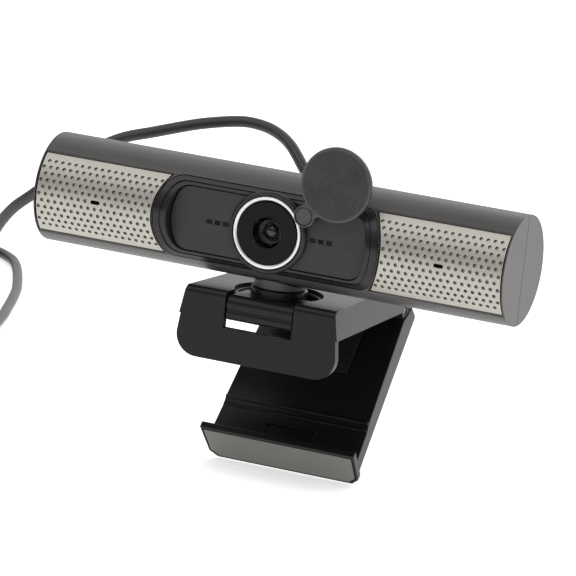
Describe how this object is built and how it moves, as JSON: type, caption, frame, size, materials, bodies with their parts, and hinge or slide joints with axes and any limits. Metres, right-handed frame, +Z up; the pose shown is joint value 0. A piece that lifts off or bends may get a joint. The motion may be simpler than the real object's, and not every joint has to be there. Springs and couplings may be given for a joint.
{
  "type": "bar webcam with screen clip",
  "caption": "Bar-shaped webcam with punched side grilles, a swing-away lens cover, a pan and tilt neck, a fold-out screen clip and a coiled plug-in lead.",
  "frame": {"origin": "on the floor under the clip's foot edge, below the middle of the webcam without its free lead: centre of its plan box", "axes": "+X along the bar, to the right of someone who faces the lens; -Y the way the lens looks; +Z up"},
  "size_m": [0.4393, 0.3574, 0.1359],
  "materials": {
    "satin_black": "satin moulded plastic, dark warm grey",
    "gloss_black": "polished black plastic",
    "fascia_black": "matt black with fine level lines",
    "clip_black": "fine moulded texture, black",
    "grille_metal": "warm satin silver punched sheet",
    "ring_metal": "bright turned ring",
    "foot_grey": "satin grey inset plate",
    "steel": "plain steel",
    "rubber_black": "soft black rubber",
    "cord_black": "satin black cable jacket",
    "board_green": "circuit board with green solder mask",
    "chip_black": "black moulded part",
    "cone_grey": "speaker diaphragm",
    "indicator_smoke": "smoked light pipe",
    "lens_glass": "coated lens",
    "window_glass": "dark tinted window",
    "plug_insulator": "light moulded insulator"
  },
  "bodies": {
    "bar": {"front_shell": "satin_black", "rear_shell": "satin_black", "neck_column": "satin_black", "cover_rivet": "satin_black", "bezel_rim": "gloss_black", "lens_barrel": "gloss_black", "lens_module": "gloss_black", "fascia_panel": "fascia_black", "grille_left": "grille_metal", "grille_right": "grille_metal", "lens_ring": "ring_metal", "shell_screw_1": "steel", "shell_screw_2": "steel", "shell_screw_3": "steel", "shell_screw_4": "steel", "microphone_left": "steel", "microphone_right": "steel", "swivel_screw": "steel", "swivel_washer": "steel", "plug_shell": "steel", "cord_gland": "rubber_black", "cord_tie": "rubber_black", "plug_boot": "rubber_black", "plug_body": "rubber_black", "cord_tube": "cord_black", "cord_tail": "cord_black", "cord_coil": "cord_black", "sensor_board": "board_green", "main_board": "board_green", "image_sensor": "chip_black", "video_chip": "chip_black", "speaker_frame_left": "chip_black", "speaker_frame_right": "chip_black", "speaker_cone_left": "cone_grey", "speaker_cone_right": "cone_grey", "indicator_left": "indicator_smoke", "indicator_right": "indicator_smoke", "lens_element": "lens_glass", "lens_window": "window_glass", "cord_socket": "plug_insulator", "plug_tongue": "plug_insulator"},
    "cover": {"lens_cover": "satin_black"},
    "swivel": {"swivel_arm": "clip_black"},
    "clip": {"clip_body": "clip_black", "seat_pad": "rubber_black", "lip_pad": "rubber_black", "tilt_pin": "steel", "leg_pin": "steel"},
    "leg": {"leg_frame": "clip_black", "leg_cover": "clip_black", "leg_pad": "rubber_black", "foot_plate": "foot_grey"}
  },
  "joints": [
    {"name": "cover_turn", "type": "hinge", "parent": "bar", "child": "cover", "pos_m": [0.01512, -0.04316, 0.10816], "axis": [0, -1, 0], "range_deg": [0, 161]},
    {"name": "pan", "type": "hinge", "parent": "bar", "child": "swivel", "pos_m": [0, -0.02666, 0.07397], "axis": [0, 0, 1], "range_deg": [-90, 90]},
    {"name": "tilt", "type": "hinge", "parent": "swivel", "child": "clip", "pos_m": [0, -0.04016, 0.06817], "axis": [-1, 0, 0], "range_deg": [0, 75]},
    {"name": "leg_fold", "type": "hinge", "parent": "clip", "child": "leg", "pos_m": [0, 0.03734, 0.06246], "axis": [1, 0, 0], "range_deg": [-42, 55]}
  ]
}
